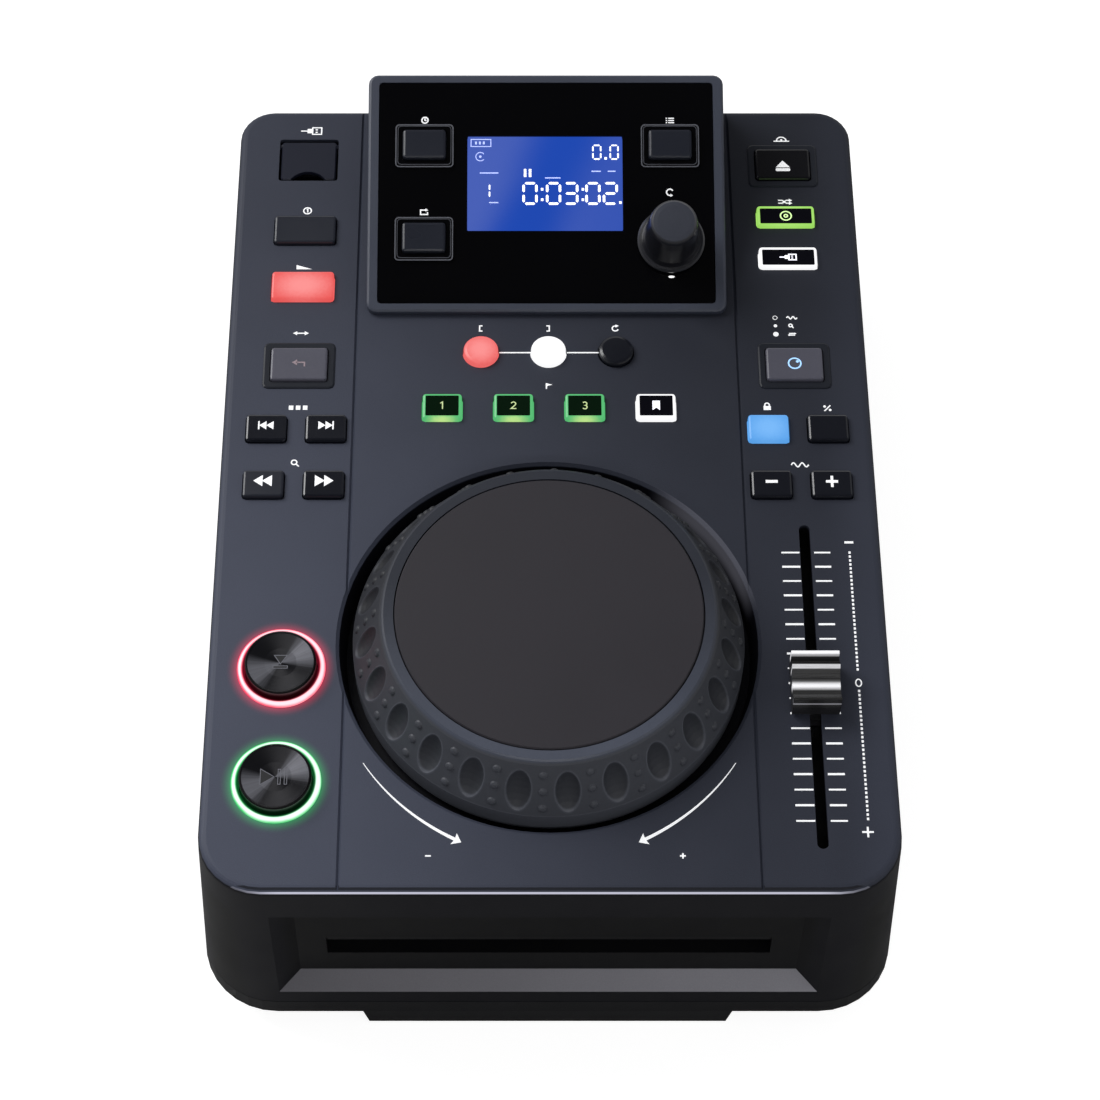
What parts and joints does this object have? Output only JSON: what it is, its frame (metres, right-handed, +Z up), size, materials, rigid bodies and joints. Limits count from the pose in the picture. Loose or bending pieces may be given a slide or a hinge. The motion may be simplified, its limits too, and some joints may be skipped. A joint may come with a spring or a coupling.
{
  "type": "tabletop dj cd player",
  "caption": "Tabletop disc player with a front loading slot, a large jog wheel, a tilted display pod, a pitch fader and lit keys.",
  "frame": {"origin": "on the table, under the middle of the body, at the soles of the feet", "axes": "+X to the user's right, +Y to the rear, +Z up"},
  "size_m": [0.2278, 0.3168, 0.1283],
  "materials": {
    "deck_plastic": "fine satin texture",
    "pod_plastic": "fine satin texture",
    "tray_steel": "black powder coat",
    "foot_rubber": "matt",
    "screw_steel": "blackened",
    "gloss_black": "high gloss",
    "lcd_glass": "lit blue display",
    "board": "solder mask",
    "socket_plastic": "moulded",
    "socket_metal": "plated",
    "bezel_gloss": "gloss",
    "cue_ring_glow": "lit translucent ring",
    "play_ring_glow": "lit translucent ring",
    "wheel_rubber": "soft matt",
    "touch_skin": "fine grain",
    "shaft_steel": "ground",
    "bush_brass": "turned",
    "fader_steel": "zinc plated",
    "cap_chrome": "black with metallised ridges",
    "knob_plastic": "semi gloss",
    "drive_plastic": "moulded",
    "roller_rubber": "matt",
    "key_dark": "semi gloss",
    "key_red": "lit translucent",
    "key_white": "lit translucent",
    "key_memo": "translucent with a dark window",
    "key_green": "lit translucent with a dark window",
    "key_lime": "lit translucent with a dark window",
    "key_blue": "lit translucent",
    "play_cap_metal": "turned, dark anodised"
  },
  "bodies": {
    "housing": {"top_cover": "deck_plastic", "bottom_tray": "tray_steel", "rubber_feet": "foot_rubber", "case_screws": "screw_steel", "display_housing": "pod_plastic", "display_panel": "gloss_black", "lcd_module": "lcd_glass", "display_board": "board", "control_board": "board", "main_board": "board", "rear_sockets": "socket_plastic", "usb_socket": "socket_metal", "button_bezels": "bezel_gloss", "cue_light_ring": "cue_ring_glow", "play_light_ring": "play_ring_glow", "jog_bearing": "bush_brass", "pitch_fader_body": "fader_steel", "drive_frame": "fader_steel"},
    "jog": {"jog_wheel": "wheel_rubber", "touch_disc": "touch_skin", "jog_shaft": "shaft_steel"},
    "pitch_slider": {"pitch_lever": "fader_steel", "pitch_cap": "cap_chrome"},
    "select_push": {"select_shaft": "shaft_steel"},
    "select_turn": {"select_knob": "knob_plastic"},
    "usb_lid": {"usb_flap": "bezel_gloss"},
    "power_rocker": {"power_switch": "socket_plastic"},
    "traverse": {"traverse_plate": "fader_steel"},
    "spindle": {"turntable": "drive_plastic"},
    "clamp": {"disc_clamp": "drive_plastic"},
    "roller": {"loading_roller": "roller_rubber"},
    "sled": {"pickup_sled": "drive_plastic"},
    "screw": {"lead_screw": "shaft_steel"},
    "loop_in_button": {"loop_in_key": "key_red"},
    "loop_out_button": {"loop_out_key": "key_white"},
    "reloop_button": {"reloop_key": "key_dark"},
    "hot_cue_1_button": {"hot_cue_1_key": "key_green"},
    "hot_cue_2_button": {"hot_cue_2_key": "key_green"},
    "hot_cue_3_button": {"hot_cue_3_key": "key_green"},
    "memo_button": {"memo_key": "key_memo"},
    "single_button": {"single_key": "key_dark"},
    "brake_button": {"brake_key": "key_red"},
    "reverse_button": {"reverse_key": "key_dark"},
    "track_back_button": {"track_back_key": "key_dark"},
    "track_forward_button": {"track_forward_key": "key_dark"},
    "search_back_button": {"search_back_key": "key_dark"},
    "search_forward_button": {"search_forward_key": "key_dark"},
    "cue_button": {"cue_key": "play_cap_metal"},
    "play_button": {"play_key": "play_cap_metal"},
    "eject_button": {"eject_key": "key_dark"},
    "source_disc_button": {"source_disc_key": "key_lime"},
    "source_usb_button": {"source_usb_key": "key_memo"},
    "jog_mode_button": {"jog_mode_key": "key_dark"},
    "master_tempo_button": {"master_tempo_key": "key_blue"},
    "pitch_range_button": {"pitch_range_key": "key_dark"},
    "bend_minus_button": {"bend_minus_key": "key_dark"},
    "bend_plus_button": {"bend_plus_key": "key_dark"},
    "time_button": {"time_key": "key_dark"},
    "repeat_button": {"repeat_key": "key_dark"},
    "program_button": {"program_key": "key_dark"}
  },
  "joints": [
    {"name": "jog_spin", "type": "hinge", "parent": "housing", "child": "jog", "pos_m": [0, -0.0655, 0.095], "axis": [0, 0, 1], "continuous": true},
    {"name": "pitch_slide", "type": "slide", "parent": "housing", "child": "pitch_slider", "axis": [0, 1, 0], "range_m": [-0.0453, 0.0517]},
    {"name": "select_press", "type": "slide", "parent": "housing", "child": "select_push", "axis": [0, 0.314, -0.9494], "range_m": [0, 0.0012], "stiffness_N_per_m": 600, "springref_m": -0.0004},
    {"name": "select_spin", "type": "hinge", "parent": "select_push", "child": "select_turn", "pos_m": [0.043, 0.08643, 0.10541], "axis": [0, -0.314, 0.9494], "continuous": true},
    {"name": "usb_lid_hinge", "type": "hinge", "parent": "housing", "child": "usb_lid", "pos_m": [-0.0843, 0.1377, 0.0935], "axis": [-1, 0, 0], "range_deg": [0, 100]},
    {"name": "power_rock", "type": "hinge", "parent": "housing", "child": "power_rocker", "pos_m": [-0.062, 0.147, 0.0379], "axis": [1, 0, 0], "range_deg": [0, 20]},
    {"name": "traverse_lift", "type": "slide", "parent": "housing", "child": "traverse", "axis": [0, 0, 1], "range_m": [0, 0.003]},
    {"name": "spindle_spin", "type": "hinge", "parent": "traverse", "child": "spindle", "pos_m": [0, -0.0675, 0.042], "axis": [0, 0, 1], "continuous": true},
    {"name": "clamp_spin", "type": "hinge", "parent": "housing", "child": "clamp", "pos_m": [0, -0.0675, 0.0525], "axis": [0, 0, 1], "continuous": true},
    {"name": "roller_spin", "type": "hinge", "parent": "housing", "child": "roller", "pos_m": [0, -0.1265, 0.0414], "axis": [1, 0, 0], "continuous": true},
    {"name": "screw_turn", "type": "hinge", "parent": "traverse", "child": "screw", "pos_m": [-0.032, -0.0505, 0.036], "axis": [0, 1, 0], "range_deg": [0, 4320]},
    {"name": "sled_slide", "type": "slide", "parent": "traverse", "child": "sled", "axis": [0, 1, 0], "range_m": [0, 0.036]},
    {"name": "loop_in_press", "type": "slide", "parent": "housing", "child": "loop_in_button", "axis": [0, 0, -1], "range_m": [0, 0.0012], "stiffness_N_per_m": 350, "springref_m": -0.0003},
    {"name": "loop_out_press", "type": "slide", "parent": "housing", "child": "loop_out_button", "axis": [0, 0, -1], "range_m": [0, 0.0012], "stiffness_N_per_m": 350, "springref_m": -0.0003},
    {"name": "reloop_press", "type": "slide", "parent": "housing", "child": "reloop_button", "axis": [0, 0, -1], "range_m": [0, 0.0012], "stiffness_N_per_m": 350, "springref_m": -0.0003},
    {"name": "hot_cue_1_press", "type": "slide", "parent": "housing", "child": "hot_cue_1_button", "axis": [0, 0, -1], "range_m": [0, 0.0012], "stiffness_N_per_m": 350, "springref_m": -0.0003},
    {"name": "hot_cue_2_press", "type": "slide", "parent": "housing", "child": "hot_cue_2_button", "axis": [0, 0, -1], "range_m": [0, 0.0012], "stiffness_N_per_m": 350, "springref_m": -0.0003},
    {"name": "hot_cue_3_press", "type": "slide", "parent": "housing", "child": "hot_cue_3_button", "axis": [0, 0, -1], "range_m": [0, 0.0012], "stiffness_N_per_m": 350, "springref_m": -0.0003},
    {"name": "memo_press", "type": "slide", "parent": "housing", "child": "memo_button", "axis": [0, 0, -1], "range_m": [0, 0.0012], "stiffness_N_per_m": 350, "springref_m": -0.0003},
    {"name": "single_press", "type": "slide", "parent": "housing", "child": "single_button", "axis": [0, 0, -1], "range_m": [0, 0.0012], "stiffness_N_per_m": 350, "springref_m": -0.0003},
    {"name": "brake_press", "type": "slide", "parent": "housing", "child": "brake_button", "axis": [0, 0, -1], "range_m": [0, 0.0012], "stiffness_N_per_m": 350, "springref_m": -0.0003},
    {"name": "reverse_press", "type": "slide", "parent": "housing", "child": "reverse_button", "axis": [0, 0, -1], "range_m": [0, 0.0012], "stiffness_N_per_m": 350, "springref_m": -0.0003},
    {"name": "track_back_press", "type": "slide", "parent": "housing", "child": "track_back_button", "axis": [0, 0, -1], "range_m": [0, 0.0012], "stiffness_N_per_m": 350, "springref_m": -0.0003},
    {"name": "track_forward_press", "type": "slide", "parent": "housing", "child": "track_forward_button", "axis": [0, 0, -1], "range_m": [0, 0.0012], "stiffness_N_per_m": 350, "springref_m": -0.0003},
    {"name": "search_back_press", "type": "slide", "parent": "housing", "child": "search_back_button", "axis": [0, 0, -1], "range_m": [0, 0.0012], "stiffness_N_per_m": 350, "springref_m": -0.0003},
    {"name": "search_forward_press", "type": "slide", "parent": "housing", "child": "search_forward_button", "axis": [0, 0, -1], "range_m": [0, 0.0012], "stiffness_N_per_m": 350, "springref_m": -0.0003},
    {"name": "cue_press", "type": "slide", "parent": "housing", "child": "cue_button", "axis": [0, 0, -1], "range_m": [0, 0.0012], "stiffness_N_per_m": 350, "springref_m": -0.0003},
    {"name": "play_press", "type": "slide", "parent": "housing", "child": "play_button", "axis": [0, 0, -1], "range_m": [0, 0.0012], "stiffness_N_per_m": 350, "springref_m": -0.0003},
    {"name": "eject_press", "type": "slide", "parent": "housing", "child": "eject_button", "axis": [0, 0, -1], "range_m": [0, 0.0012], "stiffness_N_per_m": 350, "springref_m": -0.0003},
    {"name": "source_disc_press", "type": "slide", "parent": "housing", "child": "source_disc_button", "axis": [0, 0, -1], "range_m": [0, 0.0012], "stiffness_N_per_m": 350, "springref_m": -0.0003},
    {"name": "source_usb_press", "type": "slide", "parent": "housing", "child": "source_usb_button", "axis": [0, 0, -1], "range_m": [0, 0.0012], "stiffness_N_per_m": 350, "springref_m": -0.0003},
    {"name": "jog_mode_press", "type": "slide", "parent": "housing", "child": "jog_mode_button", "axis": [0, 0, -1], "range_m": [0, 0.0012], "stiffness_N_per_m": 350, "springref_m": -0.0003},
    {"name": "master_tempo_press", "type": "slide", "parent": "housing", "child": "master_tempo_button", "axis": [0, 0, -1], "range_m": [0, 0.0012], "stiffness_N_per_m": 350, "springref_m": -0.0003},
    {"name": "pitch_range_press", "type": "slide", "parent": "housing", "child": "pitch_range_button", "axis": [0, 0, -1], "range_m": [0, 0.0012], "stiffness_N_per_m": 350, "springref_m": -0.0003},
    {"name": "bend_minus_press", "type": "slide", "parent": "housing", "child": "bend_minus_button", "axis": [0, 0, -1], "range_m": [0, 0.0012], "stiffness_N_per_m": 350, "springref_m": -0.0003},
    {"name": "bend_plus_press", "type": "slide", "parent": "housing", "child": "bend_plus_button", "axis": [0, 0, -1], "range_m": [0, 0.0012], "stiffness_N_per_m": 350, "springref_m": -0.0003},
    {"name": "time_press", "type": "slide", "parent": "housing", "child": "time_button", "axis": [0, 0.314, -0.9494], "range_m": [0, 0.0012], "stiffness_N_per_m": 350, "springref_m": -0.0003},
    {"name": "repeat_press", "type": "slide", "parent": "housing", "child": "repeat_button", "axis": [0, 0.314, -0.9494], "range_m": [0, 0.0012], "stiffness_N_per_m": 350, "springref_m": -0.0003},
    {"name": "program_press", "type": "slide", "parent": "housing", "child": "program_button", "axis": [0, 0.314, -0.9494], "range_m": [0, 0.0012], "stiffness_N_per_m": 350, "springref_m": -0.0003}
  ],
  "couplings": [
    {"joint": "screw_turn", "follows": "sled_slide", "rad_per_m": 2094.4}
  ]
}
